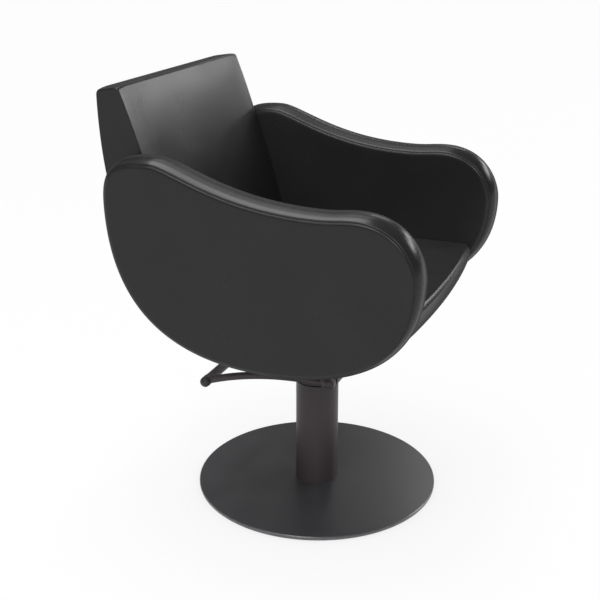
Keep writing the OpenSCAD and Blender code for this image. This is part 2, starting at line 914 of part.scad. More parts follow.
module plunger_spring() {
  per_turn = 10;
  sides = 6;
  count = spring_turns * per_turn;
  lean = atan2(spring_rise / spring_turns, 2 * PI * spring_mid_r);
  rings = [
    for (i = [0 : count])
      let (a = 360 * i / per_turn, z = plunger_top + spring_wire + 0.2 + spring_rise * i / count)
        [for (j = [0 : sides - 1])
          let (
            b = -360 * j / sides,
            r = spring_mid_r + spring_wire * cos(b),
            h = spring_wire * sin(b)
          )
          [r * cos(a) + h * sin(lean) * sin(a), plunger_y + r * sin(a) - h * sin(lean) * cos(a), z + h * cos(lean)]]
  ];
  tail = plunger_top + spring_wire + 0.2;
  end_turn = 360 * spring_turns;
  color("cyan")
    loft(
      rings,
      [spring_mid_r, plunger_y, tail],
      [spring_mid_r * cos(end_turn), plunger_y + spring_mid_r * sin(end_turn), tail + spring_rise]
    );
}

base_disc();
floor_mat();
base_screws();
column_tube();
column_foot();
cylinder_tube();
cylinder_gland();
wiper_seal();
ram_tube();
piston();
piston_seal();
ram_head();
thrust_race_lower();
thrust_balls();
ball_cage();
thrust_race_upper();
swivel_bushes();
pump_housing();
flange_screws();
mount_plate();
plate_bolts();
mount_block();
seat_board();
side_rails();
rail_screws();
arm_bolts();
under_shell();
seat_cushion();
back_cushion();
back_board();
back_cover();
back_brackets();
back_bolts();
left_arm_core();
left_arm_inner_pad();
left_arm_outer_pad();
left_arm_band();
right_arm_core();
right_arm_inner_pad();
right_arm_outer_pad();
right_arm_band();
pivot_bushes();
pivot_shaft();
shaft_caps();
rocker_finger();
left_lever_arm();
right_lever_arm();
foot_bar();
bar_caps();
pump_plunger();
plunger_spring();
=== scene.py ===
"""Looks of a styling chair: upholstery, finishes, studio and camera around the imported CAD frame.

Side views are written as (y, z) points in millimetres, with the sitter facing -Y.
"""

import json
import logging
import math
from dataclasses import dataclass, field
from enum import Enum
from typing import Callable, Sequence

import bmesh
import bpy
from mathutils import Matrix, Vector, geometry, noise


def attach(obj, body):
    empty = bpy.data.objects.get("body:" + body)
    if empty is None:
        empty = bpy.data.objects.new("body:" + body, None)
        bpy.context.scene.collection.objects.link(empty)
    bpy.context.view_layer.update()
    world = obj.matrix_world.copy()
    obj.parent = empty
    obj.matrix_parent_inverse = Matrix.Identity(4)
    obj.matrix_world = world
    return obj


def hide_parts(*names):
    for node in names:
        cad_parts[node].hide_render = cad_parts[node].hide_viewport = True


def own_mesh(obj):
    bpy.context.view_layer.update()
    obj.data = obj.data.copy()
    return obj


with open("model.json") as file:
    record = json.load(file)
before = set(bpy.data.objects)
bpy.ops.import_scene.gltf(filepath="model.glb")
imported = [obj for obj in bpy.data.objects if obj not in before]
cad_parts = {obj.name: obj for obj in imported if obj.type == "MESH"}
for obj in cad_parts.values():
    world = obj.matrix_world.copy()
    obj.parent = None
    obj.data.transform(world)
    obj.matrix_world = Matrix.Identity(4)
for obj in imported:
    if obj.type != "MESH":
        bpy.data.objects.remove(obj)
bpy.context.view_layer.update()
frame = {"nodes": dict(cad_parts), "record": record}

LOG = logging.getLogger("styling_chair")
MM = 0.001
WHITE = (1.0, 1.0, 1.0)
# Values of a noise texture that are spread over the whole change of tone
NOISE_SPAN = (0.3, 0.7)
Point = tuple[float, float]
Place = tuple[float, float, float]
Colour = tuple[float, float, float]
Socket = bpy.types.NodeSocket
Node = bpy.types.Node


class Side(Enum):
    """Which arm panel, by the sign of its x."""

    LEFT = 1
    RIGHT = -1


class Slot(Enum):
    """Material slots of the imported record."""

    LEATHER = "leather"
    BASE_PAINT = "base_paint"
    COLUMN_PAINT = "column_paint"
    CAST_HEAD = "cast_head"
    CHROME = "chrome"
    STEEL = "steel"
    BRACKET_PAINT = "bracket_paint"
    RUBBER = "rubber"
    CAP_PLASTIC = "cap_plastic"
    BRONZE = "bronze"
    PLYWOOD = "plywood"


@dataclass(frozen=True)
class Span:
    """One Bezier stretch of a side outline.

    Attributes:
        start: First point.
        lead: Handle after the first point.
        trail: Handle before the last point.
        end: Last point.
        count: Number of edges along the stretch.
    """

    start: Point
    lead: Point
    trail: Point
    end: Point
    count: int

    def at(self, t: float) -> Point:
        """Point on the stretch.

        Args:
            t: Curve fraction.

        Returns:
            The point.
        """
        weights = ((1 - t) ** 3, 3 * (1 - t) ** 2 * t, 3 * (1 - t) * t * t, t**3)
        corners = (self.start, self.lead, self.trail, self.end)
        y, z = (sum(w * corner[i] for w, corner in zip(weights, corners)) for i in (0, 1))
        return y, z

    def points(self) -> list[Point]:
        """Points along the stretch, without its last one."""
        ends = [Vector((0.0, y, z)) for y, z in (self.start, self.lead, self.trail, self.end)]
        return [(p.y, p.z) for p in geometry.interpolate_bezier(*ends, self.count + 1)[:-1]]

    def part(self, low: float, high: float, count: int) -> list[Point]:
        """Points between two curve fractions, without the last one."""
        return [self.at(low + (high - low) * i / count) for i in range(count)]


class Outline:
    """A closed side outline, counter-clockwise, with its outward normals."""

    def __init__(self, points: Sequence[Point]) -> None:
        """Keep the points and work out their normals.

        Args:
            points: Corner points in order.
        """
        self.points = list(points)
        self.normals: list[Point] = []
        for i in range(len(self.points)):
            before, after = self.points[i - 1], self.points[(i + 1) % len(self.points)]
            dy, dz = after[0] - before[0], after[1] - before[1]
            length = math.hypot(dy, dz) or 1.0
            self.normals.append((dz / length, -dy / length))

    def at(self, x: float, grow: float) -> list[Vector]:
        """Ring of the outline, grown outwards, at one x.

        Args:
            x: Position across the chair in mm.
            grow: How far the ring is grown in mm.

        Returns:
            Points in metres.
        """
        return [
            Vector((x, y + grow * ny, z + grow * nz)) * MM
            for (y, z), (ny, nz) in zip(self.points, self.normals)
        ]


class Skin:
    """Grows a closed cover ring by ring out of one loop of vertices."""

    ROW_STEP = 0.002  # Height of one ring in the UV map, in metres

    def __init__(self, first: Sequence[Vector], seam: float = 0.0) -> None:
        """Start from a circle that is laid on the first ring.

        Args:
            first: Points of the first ring.
            seam: Seam value of the ring.
        """
        self.bm = bmesh.new()
        self.seam = self.bm.verts.layers.float.new("seam")
        made = bmesh.ops.create_circle(self.bm, cap_ends=False, radius=1.0, segments=len(first))
        self.rows: list[list[bmesh.types.BMVert]] = [list(made["verts"])]
        self._place(first, seam)

    def _place(self, points: Sequence[Vector], seam: float) -> None:
        """Move the newest ring to its points.

        Args:
            points: Points of the ring.
            seam: Seam value of the ring.
        """
        for vert, point in zip(self.rows[-1], points):
            vert.co = point
            vert[self.seam] = seam

    def ring(self, points: Sequence[Vector], seam: float = 0.0) -> None:
        """Extrude the newest ring and lay the copy on new points.

        Args:
            points: Points of the ring.
            seam: Seam value, 1 at the bottom of a sewn valley.
        """
        last = self.rows[-1]
        edges = [self.bm.edges.get((last[i - 1], last[i])) for i in range(len(last))]
        made = set(bmesh.ops.extrude_edge_only(self.bm, edges=edges)["geom"])
        row = []
        for vert in last:
            row.append(next(e.other_vert(vert) for e in vert.link_edges if e.other_vert(vert) in made))
        self.rows.append(row)
        self._place(points, seam)

    def cap(self, row: list[bmesh.types.BMVert], pitch: float) -> list[bmesh.types.BMVert]:
        """Close a ring with one face and cut it into a grid.

        Args:
            row: The ring to close.
            pitch: Size of the grid in mm.

        Returns:
            The vertices inside the cap.
        """
        face = bmesh.ops.contextual_create(self.bm, geom=row)["faces"][0]
        cells: list[bmesh.types.BMFace] = [face]
        step = pitch * MM
        for axis in (1, 2):
            low = min(v.co[axis] for v in row)
            high = max(v.co[axis] for v in row)
            for i in range(1, int((high - low) / step)):
                place, normal = Vector(), Vector()
                place[axis] = low + i * step
                normal[axis] = 1.0
                geom = list({e for f in cells for e in (*f.verts, *f.edges)}) + cells
                cut = bmesh.ops.bisect_plane(self.bm, geom=geom, dist=1e-6, plane_co=place, plane_no=normal)
                cells = [g for g in cut["geom"] if isinstance(g, bmesh.types.BMFace)]
        edge = set(row)
        return list({v for f in cells for v in f.verts if v not in edge})

    def run_map(self) -> None:
        """Lay a UV map along the rings, in metres, for marks that follow the seams."""
        uv = self.bm.loops.layers.uv.new("run")
        place: dict[bmesh.types.BMVert, tuple[int, int]] = {}
        for r, row in enumerate(self.rows):
            for i, vert in enumerate(row):
                place[vert] = (r, i)
        middle = self.rows[len(self.rows) // 2]
        count = len(middle)
        along = [0.0]
        for i in range(count):
            along.append(along[-1] + (middle[(i + 1) % count].co - middle[i].co).length)
        for face in self.bm.faces:
            known = [place.get(loop.vert) for loop in face.loops]
            wraps = any(k and k[1] == 0 for k in known) and any(k and k[1] == count - 1 for k in known)
            for loop, k in zip(face.loops, known):
                if k is None:
                    loop[uv].uv = (loop.vert.co.y, loop.vert.co.z)
                else:
                    index = count if wraps and k[1] == 0 else k[1]
                    loop[uv].uv = (along[index], k[0] * self.ROW_STEP)

    def finish(self, name: str) -> bpy.types.Object:
        """Turn the cover into an object in the scene.

        Args:
            name: Name of the piece.

        Returns:
            The new object.
        """
        self.run_map()
        bmesh.ops.recalc_face_normals(self.bm, faces=self.bm.faces)
        return piece_from(self.bm, name)


def piece_from(bm: bmesh.types.BMesh, name: str) -> bpy.types.Object:
    """Make a smooth-shaded object at the origin from a bmesh.

    Args:
        bm: The finished mesh, which is freed.
        name: Name of the piece.

    Returns:
        The new object.
    """
    mesh = bpy.data.meshes.new(name)
    bm.to_mesh(mesh)
    bm.free()
    mesh.shade_smooth()
    piece = bpy.data.objects.new(name, mesh)
    bpy.context.scene.collection.objects.link(piece)
    return piece


def rounded(piece: bpy.types.Object, levels: int) -> None:
    """Finish a piece with a subdivision surface.

    Args:
        piece: The piece.
        levels: Number of subdivisions.
    """
    modifier = piece.modifiers.new("rounding", "SUBSURF")
    modifier.levels = levels
    modifier.render_levels = levels


@dataclass(frozen=True)
class Padding:
    """Cloth that is blown up into a padded cover.

    Attributes:
        quality: Steps of the simulation per frame.
        mass: Mass of a vertex.
        pressure: Pressure inside the cover.
        frames: Length of the simulation.
    """

    quality: int = 6
    mass: float = 0.4
    pressure: float = 4.0
    frames: int = 20

    def swell(
        self, piece: bpy.types.Object, held: Callable[[Vector], bool], cap: Callable[[Vector], float]
    ) -> None:
        """Blow a closed cover up with cloth pressure and keep the shape.

        Args:
            piece: The cover.
            held: Tells whether a point is sewn or tucked and so stays put.
            cap: The furthest that a point may move, in mm.
        """
        scene = bpy.context.scene
        rest = [v.co.copy() for v in piece.data.vertices]
        group = piece.vertex_groups.new(name="held")
        group.add([i for i, co in enumerate(rest) if held(co / MM)], 1.0, "REPLACE")
        cloth = piece.modifiers.new("swell", "CLOTH")
        cloth.settings.quality = self.quality
        cloth.settings.mass = self.mass
        cloth.settings.vertex_group_mass = "held"
        cloth.settings.use_pressure = True
        cloth.settings.uniform_pressure_force = self.pressure
        cloth.settings.effector_weights.gravity = 0.0
        cloth.collision_settings.use_collision = False
        for step in range(1, self.frames + 1):
            scene.frame_set(step)
        grown = piece.evaluated_get(bpy.context.evaluated_depsgraph_get())
        moved = [v.co.copy() for v in grown.data.vertices]
        piece.modifiers.remove(cloth)
        piece.vertex_groups.remove(group)
        scene.frame_set(1)
        for vert, start, end in zip(piece.data.vertices, rest, moved):
            shift = end - start
            limit = cap(start / MM) * MM
            if shift.length > 1e-9 and limit > 0:
                vert.co = start + shift.normalized() * limit * (1 - math.exp(-shift.length / limit))
            else:
                vert.co = start


class Sheet:
    """Adds and links shader nodes in one tree."""

    def __init__(self, tree: bpy.types.NodeTree) -> None:
        """Keep the tree that the nodes go into."""
        self.tree = tree

    def add(self, kind: str, settings: dict[str, object] | None = None, **inputs: object) -> Node:
        """Add a node.

        Args:
            kind: Node type without its ShaderNode prefix.
            settings: Properties of the node.
            **inputs: Values or sockets for its inputs, with spaces written as underscores.

        Returns:
            The new node.
        """
        node = self.tree.nodes.new("ShaderNode" + kind)
        for key, value in (settings or {}).items():
            setattr(node, key, value)
        for key, value in inputs.items():
            self.fill(node.inputs[int(key[2:]) if key.startswith("n_") else key.replace("_", " ")], value)
        return node

    def fill(self, socket: Socket, value: object) -> None:
        """Give an input a value or a link.

        Args:
            socket: The input.
            value: Plain value, or the output to link.
        """
        if isinstance(value, Socket):
            self.tree.links.new(value, socket)
        else:
            socket.default_value = value

    def math(self, operation: str, a: object, b: object = 0.0) -> Socket:
        """Output of a math node."""
        return self.add("Math", {"operation": operation}, n_0=a, n_1=b).outputs[0]

    def times(self, a: object, b: object) -> Socket:
        """Product of two values."""
        return self.math("MULTIPLY", a, b)

    def plus(self, a: object, b: object) -> Socket:
        """Sum of two values."""
        return self.math("ADD", a, b)

    def blend(self, factor: object, a: object, b: object) -> Socket:
        """Output of a colour mix."""
        return self.add("Mix", {"data_type": "RGBA"}, n_0=factor, n_6=a, n_7=b).outputs[2]

    def spread(
        self, value: Socket, low: float, high: float, to_low: float = 0.0, to_high: float = 1.0
    ) -> Socket:
        """Output of a clamped range map."""
        ends = {"From_Min": low, "From_Max": high, "To_Min": to_low, "To_Max": to_high}
        return self.add("MapRange", {"clamp": True}, Value=value, **ends).outputs["Result"]

    def cloud(self, vector: Socket, scale: object, detail: float, roughness: float = 0.5) -> Socket:
        """Value of a noise texture."""
        settings = {"Scale": scale, "Detail": detail, "Roughness": roughness}
        return self.add("TexNoise", None, Vector=vector, **settings).outputs["Fac"]

    def effect(self, group: bpy.types.NodeTree, **inputs: object) -> Node:
        """Place a shared effect group in this tree.

        Args:
            group: The group.
            **inputs: Values or sockets for its inputs.

        Returns:
            The new node.
        """
        node = self.add("Group", {"node_tree": group})
        for key, value in inputs.items():
            self.fill(node.inputs[key], value)
        return node


class Effects:
    """Shader groups that several finishes share."""

    STROKES = ((0.5, 26.0), (-0.9, 34.0))  # Turn and stretch of the two directions of hairlines

    def __init__(self) -> None:
        """Build every group once."""
        self.grain = self._group("pebble_grain", ["Vector"], ["Cell"], ["Height", "Tone"], self._grain)
        self.film = self._group("dust_film", ["Vector"], ["Reach"], ["Mask"], self._film)
        marks, sewing = ["Scale", "Cover"], ["Run", "Seam", "Pitch"]
        self.scuff = self._group("fine_scuffs", ["Vector"], marks, ["Mask", "Height"], self._scuff)
        self.thread = self._group("seam_thread", [], sewing, ["Height", "Mask"], self._thread)

    @staticmethod
    def _group(
        name: str,
        vectors: list[str],
        values: list[str],
        outputs: list[str],
        fill: Callable[[Sheet, Node], list[Socket]],
    ) -> bpy.types.NodeTree:
        """Make a group with named sockets and fill it.

        Args:
            name: Name of the group.
            vectors: Vector inputs.
            values: Number inputs.
            outputs: Number outputs.
            fill: Adds the nodes and gives the output sockets in order.

        Returns:
            The finished group.
        """
        tree = bpy.data.node_groups.new(name, "ShaderNodeTree")
        for label in vectors:
            tree.interface.new_socket(label, in_out="INPUT", socket_type="NodeSocketVector")
        for label in values:
            tree.interface.new_socket(label, in_out="INPUT", socket_type="NodeSocketFloat")
        for label in outputs:
            tree.interface.new_socket(label, in_out="OUTPUT", socket_type="NodeSocketFloat")
        inside = tree.nodes.new("NodeGroupInput")
        outside = tree.nodes.new("NodeGroupOutput")
        for label, socket in zip(outputs, fill(Sheet(tree), inside)):
            tree.links.new(socket, outside.inputs[label])
        return tree

    @staticmethod
    def _grain(sheet: Sheet, given: Node) -> list[Socket]:
        """Uneven pebbles of hide with creases between them, and a slow drift of tone.

        Args:
            sheet: Sheet of the group.
            given: Inputs of the group.

        Returns:
            Height and tone.
        """
        vector, cell = given.outputs["Vector"], given.outputs["Cell"]
        scale = sheet.math("DIVIDE", 1.0, cell)
        coarse = sheet.times(scale, 0.6)
        warp = sheet.add("TexNoise", None, Vector=vector, Scale=coarse, Detail=2.0).outputs["Color"]
        reach = sheet.add("CombineXYZ", None, X=cell, Y=cell, Z=cell).outputs[0]
        moved = {"operation": "MULTIPLY_ADD"}
        shifted = sheet.add("VectorMath", moved, n_0=warp, n_1=reach, n_2=vector).outputs[0]
        creases = {"feature": "DISTANCE_TO_EDGE"}
        cells = sheet.add("TexVoronoi", creases, Vector=shifted, Scale=scale).outputs["Distance"]
        return [sheet.spread(cells, 0.0, 0.22), sheet.cloud(vector, 9.0, 3.0, 0.55)]

    @staticmethod
    def _film(sheet: Sheet, given: Node) -> list[Socket]:
        """Dust that settles on faces that look up.

        Args:
            sheet: Sheet of the group.
            given: Inputs of the group.

        Returns:
            Mask.
        """
        vector = given.outputs["Vector"]
        normal = sheet.add("NewGeometry").outputs["Normal"]
        flat = sheet.spread(sheet.add("SeparateXYZ", None, Vector=normal).outputs["Z"], 0.35, 1.0)
        drifts = sheet.spread(sheet.cloud(vector, 14.0, 5.0, 0.65), 0.35, 0.75)
        specks = sheet.spread(sheet.cloud(vector, 420.0, 1.0), 0.42, 0.7)
        return [sheet.times(sheet.times(sheet.times(drifts, specks), flat), given.outputs["Reach"])]

    @classmethod
    def _scuff(cls, sheet: Sheet, given: Node) -> list[Socket]:
        """Hairline marks in two directions.

        Args:
            sheet: Sheet of the group.
            given: Inputs of the group.

        Returns:
            Mask and height.
        """
        vector, scale = given.outputs["Vector"], given.outputs["Scale"]
        lines = []
        for turn, stretch in cls.STROKES:
            turned = {"Rotation": (turn, turn * 0.7, turn), "Scale": (1.0, stretch, stretch)}
            drawn = sheet.add("Mapping", None, Vector=vector, **turned).outputs[0]
            lines.append(sheet.spread(sheet.cloud(drawn, scale, 3.0, 0.7), 0.60, 0.72))
        both = sheet.math("MAXIMUM", lines[0], lines[1])
        here = sheet.times(both, sheet.spread(sheet.cloud(vector, 7.0, 2.0), 0.45, 0.7))
        mask = sheet.times(here, given.outputs["Cover"])
        return [mask, sheet.math("SUBTRACT", 1.0, mask)]

    @staticmethod
    def _thread(sheet: Sheet, given: Node) -> list[Socket]:
        """Needle puckers and thread along a sewn valley.

        Args:
            sheet: Sheet of the group.
            given: Inputs of the group.

        Returns:
            Height and mask.
        """
        seam = given.outputs["Seam"]
        turn = sheet.math("DIVIDE", given.outputs["Run"], given.outputs["Pitch"])
        wave = sheet.math("SINE", sheet.times(turn, 2 * math.pi))
        pull = sheet.times(sheet.spread(wave, -0.6, 0.9), seam)
        core = sheet.times(sheet.spread(seam, 0.7, 0.95), sheet.spread(wave, -0.2, 0.3))
        return [pull, core]


EFFECTS = Effects()


def blank(name: str) -> tuple[bpy.types.Material, Sheet, Node]:
    """Start a material.

    Args:
        name: Name of the material.

    Returns:
        The material, its node sheet and its Principled shader.
    """
    material = bpy.data.materials.new(name)
    material.use_nodes = True
    tree = material.node_tree
    tree.nodes.clear()
    shader = tree.nodes.new("ShaderNodeBsdfPrincipled")
    out = tree.nodes.new("ShaderNodeOutputMaterial")
    tree.links.new(shader.outputs[0], out.inputs["Surface"])
    return material, Sheet(tree), shader


def shade(colour: Colour, factor: float) -> tuple[float, float, float, float]:
    """A colour made lighter or darker, with full alpha."""
    return (colour[0] * factor, colour[1] * factor, colour[2] * factor, 1.0)


@dataclass(frozen=True)
class Leather:
    """Upholstery hide.

    Attributes:
        name: Name of the material.
        colour: Base colour.
        roughness: Roughness of clean hide.
        specular: Specular level.
        cell: Size of a pebble in metres.
        relief: Depth of the grain in metres.
        pitch: Stitch length in metres.
    """

    name: str
    colour: Colour
    roughness: float
    specular: float
    cell: float
    relief: float
    pitch: float

    DUST = (0.3, 0.29, 0.28, 1.0)
    SLANT = (0.62, 0.86)  # Slant of the view between which the gloss softens
    SLANT_DULL = 0.55
    SEAM_DULL = 0.25
    DUSTY = 0.12
    PUCKER = 6.0  # Depth of the needle puckers, in pebbles

    def material(self) -> bpy.types.Material:
        """Build the material.

        Returns:
            The finished hide.
        """
        material, sheet, shader = blank(self.name)
        place = sheet.add("TexCoord").outputs["Object"]
        grain = sheet.effect(EFFECTS.grain, Vector=place, Cell=self.cell)
        pebble, tone = grain.outputs["Height"], grain.outputs["Tone"]
        seam = sheet.add("Attribute", {"attribute_name": "seam"}).outputs["Fac"]
        run = sheet.add("UVMap", {"uv_map": "run"}).outputs[0]
        along = sheet.add("SeparateXYZ", None, Vector=run).outputs["X"]
        thread = sheet.effect(EFFECTS.thread, Run=along, Seam=seam, Pitch=self.pitch)
        dust = sheet.effect(EFFECTS.film, Vector=place, Reach=0.35).outputs["Mask"]
        film = sheet.times(dust, self.DUSTY)

        drift = sheet.spread(tone, *NOISE_SPAN)
        hide = sheet.blend(drift, shade(self.colour, 0.92), shade(self.colour, 1.08))
        # Painted shade: the creases between pebbles are darkened to 0.6 of the hide's colour.
        crease = sheet.spread(pebble, 0.0, 1.0, 0.55, 1.0)
        crease_shaded = sheet.blend(crease, shade(self.colour, 0.6), hide)
        # Painted shade: the bottom of each sewn valley is darkened to 0.35 of the hide's colour.
        sewn = sheet.blend(sheet.times(seam, 0.75), crease_shaded, shade(self.colour, 0.35))
        stitch = sheet.times(thread.outputs["Mask"], 0.5)
        threaded = sheet.blend(stitch, sewn, shade(self.colour, 1.6))
        sheet.fill(shader.inputs["Base Color"], sheet.blend(film, threaded, self.DUST))

        gloss = sheet.spread(tone, *NOISE_SPAN, self.roughness - 0.03, self.roughness + 0.04)
        facing = sheet.add("LayerWeight", None, Blend=0.5).outputs["Facing"]
        slanted = sheet.plus(gloss, sheet.spread(facing, *self.SLANT, 0.0, self.SLANT_DULL))
        dull = sheet.plus(slanted, sheet.times(seam, self.SEAM_DULL))
        sheet.fill(shader.inputs["Roughness"], sheet.plus(dull, film))
        shader.inputs["Specular IOR Level"].default_value = self.specular

        height = sheet.math("SUBTRACT", pebble, sheet.times(thread.outputs["Height"], self.PUCKER))
        bump = sheet.add("Bump", None, Strength=0.6, Distance=self.relief, Height=height)
        sheet.fill(shader.inputs["Normal"], bump.outputs[0])
        return material


@dataclass(frozen=True)
class Paint:
    """Satin paint on metal.

    Attributes:
        name: Name of the material.
        colour: Base colour.
        roughness: Roughness of clean paint.
        specular: Specular level.
        peel: Depth of the orange peel in metres.
        scuffed: How much the scuffs cover.
        rim: Radius in metres past which the edge is rubbed, or 0.
    """

    name: str
    colour: Colour
    roughness: float
    specular: float
    peel: float
    scuffed: float
    rim: float = 0.0

    DUST = (0.35, 0.34, 0.33, 1.0)
    DUSTY = 0.1
    SCUFF_DULL = 0.15
    RIM_FADE = 0.0012

    def rubbed(self, sheet: Sheet, place: Socket, coat: Socket) -> Socket:
        """Lighten the rubbed edge of a round plate.

        Args:
            sheet: Sheet of the material.
            place: Object coordinates.
            coat: Colour of the paint.

        Returns:
            The colour with its rubbed edge.
        """
        flat = sheet.add("VectorMath", {"operation": "MULTIPLY"}, n_0=place, n_1=(1.0, 1.0, 0.0))
        reach = sheet.add("VectorMath", {"operation": "LENGTH"}, n_0=flat.outputs[0]).outputs["Value"]
        chips = sheet.spread(sheet.cloud(place, 60.0, 4.0), 0.4, 0.65, 0.25, 0.8)
        edge = sheet.times(sheet.spread(reach, self.rim, self.rim + self.RIM_FADE), chips)
        return sheet.blend(edge, coat, shade(self.colour, 2.4))

    def material(self) -> bpy.types.Material:
        """Build the material.

        Returns:
            The finished paint.
        """
        material, sheet, shader = blank(self.name)
        place = sheet.add("TexCoord").outputs["Object"]
        scuff = sheet.effect(EFFECTS.scuff, Vector=place, Scale=30.0, Cover=self.scuffed).outputs["Mask"]
        dust = sheet.effect(EFFECTS.film, Vector=place, Reach=0.5).outputs["Mask"]
        film = sheet.times(dust, self.DUSTY)
        drift = sheet.cloud(place, 6.0, 3.0)

        tone = sheet.spread(drift, *NOISE_SPAN)
        coat = sheet.blend(tone, shade(self.colour, 0.92), shade(self.colour, 1.1))
        marked = sheet.blend(sheet.times(scuff, 0.25), coat, shade(self.colour, 2.2))
        if self.rim:
            marked = self.rubbed(sheet, place, marked)
        sheet.fill(shader.inputs["Base Color"], sheet.blend(film, marked, self.DUST))

        rough = sheet.spread(drift, *NOISE_SPAN, self.roughness - 0.03, self.roughness + 0.04)
        worn = sheet.plus(rough, sheet.times(scuff, self.SCUFF_DULL))
        sheet.fill(shader.inputs["Roughness"], sheet.plus(worn, film))
        shader.inputs["Specular IOR Level"].default_value = self.specular

        ripple = sheet.cloud(place, 900.0, 2.0)
        bump = sheet.add("Bump", None, Strength=0.4, Distance=self.peel, Height=ripple)
        sheet.fill(shader.inputs["Normal"], bump.outputs[0])
        return material


@dataclass(frozen=True)
class Metal:
    """Bare or plated metal.

    Attributes:
        name: Name of the material.
        colour: Reflection colour.
        roughness: Roughness of the clean surface.
        scuffed: How much the hairlines cover.
    """

    name: str
    colour: Colour
    roughness: float
    scuffed: float

    DUST = (0.4, 0.39, 0.37, 1.0)
    HAIRLINE = 0.00003  # Depth of a hairline in metres

    def material(self) -> bpy.types.Material:
        """Build the material.

        Returns:
            The finished metal.
        """
        material, sheet, shader = blank(self.name)
        place = sheet.add("TexCoord").outputs["Object"]
        scuff = sheet.effect(EFFECTS.scuff, Vector=place, Scale=55.0, Cover=self.scuffed)
        dust = sheet.effect(EFFECTS.film, Vector=place, Reach=0.4).outputs["Mask"]
        drift = sheet.cloud(place, 40.0, 4.0)

        tone = sheet.spread(drift, *NOISE_SPAN)
        tint = sheet.blend(tone, shade(self.colour, 0.9), shade(self.colour, 1.0))
        sheet.fill(shader.inputs["Base Color"], sheet.blend(sheet.times(dust, 0.15), tint, self.DUST))
        shader.inputs["Metallic"].default_value = 1.0

        rough = sheet.plus(self.roughness, sheet.times(scuff.outputs["Mask"], 0.2))
        bloom = sheet.times(sheet.spread(drift, 0.4, 0.7), 0.06)
        sheet.fill(shader.inputs["Roughness"], sheet.plus(rough, bloom))
        bump = sheet.add("Bump", None, Strength=0.25, Distance=self.HAIRLINE, Height=scuff.outputs["Height"])
        sheet.fill(shader.inputs["Normal"], bump.outputs[0])
        return material


@dataclass(frozen=True)
class Moulded:
    """Moulded plastic or rubber.

    Attributes:
        name: Name of the material.
        colour: Base colour.
        roughness: Roughness of the surface.
        relief: Depth of the spark texture in metres.
    """

    name: str
    colour: Colour
    roughness: float
    relief: float

    def material(self) -> bpy.types.Material:
        """Build the material.

        Returns:
            The finished plastic or rubber.
        """
        material, sheet, shader = blank(self.name)
        place = sheet.add("TexCoord").outputs["Object"]
        scuff = sheet.effect(EFFECTS.scuff, Vector=place, Scale=45.0, Cover=0.6).outputs["Mask"]
        spark = sheet.cloud(place, 1600.0, 2.0)
        worn = sheet.blend(sheet.times(scuff, 0.4), shade(self.colour, 1.0), shade(self.colour, 2.5))
        sheet.fill(shader.inputs["Base Color"], worn)
        rough = sheet.spread(spark, *NOISE_SPAN, self.roughness - 0.06, self.roughness + 0.06)
        sheet.fill(shader.inputs["Roughness"], rough)
        bump = sheet.add("Bump", None, Strength=0.4, Distance=self.relief, Height=spark)
        sheet.fill(shader.inputs["Normal"], bump.outputs[0])
        return material


@dataclass(frozen=True)
class Timber:
    """Raw plywood.

    Attributes:
        name: Name of the material.
        colour: Colour of the face veneer.
        ply: Thickness of a layer in metres.
    """

    name: str
    colour: Colour
    ply: float

    FIBRE = (6.0, 90.0, 90.0)  # Stretch of the fibres
    FIBRE_DEPTH = 0.0002

    def material(self) -> bpy.types.Material:
        """Build the material.

        Returns:
            The finished plywood.
        """
        material, sheet, shader = blank(self.name)
        place = sheet.add("TexCoord").outputs["Object"]
        long = sheet.add("Mapping", None, Vector=place, Scale=self.FIBRE).outputs[0]
        fibre = sheet.cloud(long, 2.0, 6.0, 0.6)
        rise = sheet.add("SeparateXYZ", None, Vector=place).outputs["Z"]
        layer = sheet.math("SINE", sheet.times(rise, math.pi / self.ply))
        tone = sheet.spread(fibre, *NOISE_SPAN)
        veneer = sheet.blend(tone, shade(self.colour, 0.7), shade(self.colour, 1.1))
        bands = sheet.blend(sheet.spread(layer, -0.1, 0.1, 0.0, 0.35), veneer, shade(self.colour, 0.5))
        sheet.fill(shader.inputs["Base Color"], bands)
        sheet.fill(shader.inputs["Roughness"], sheet.spread(fibre, *NOISE_SPAN, 0.6, 0.75))
        bump = sheet.add("Bump", None, Strength=0.3, Distance=self.FIBRE_DEPTH, Height=fibre)
        sheet.fill(shader.inputs["Normal"], bump.outputs[0])
        return material


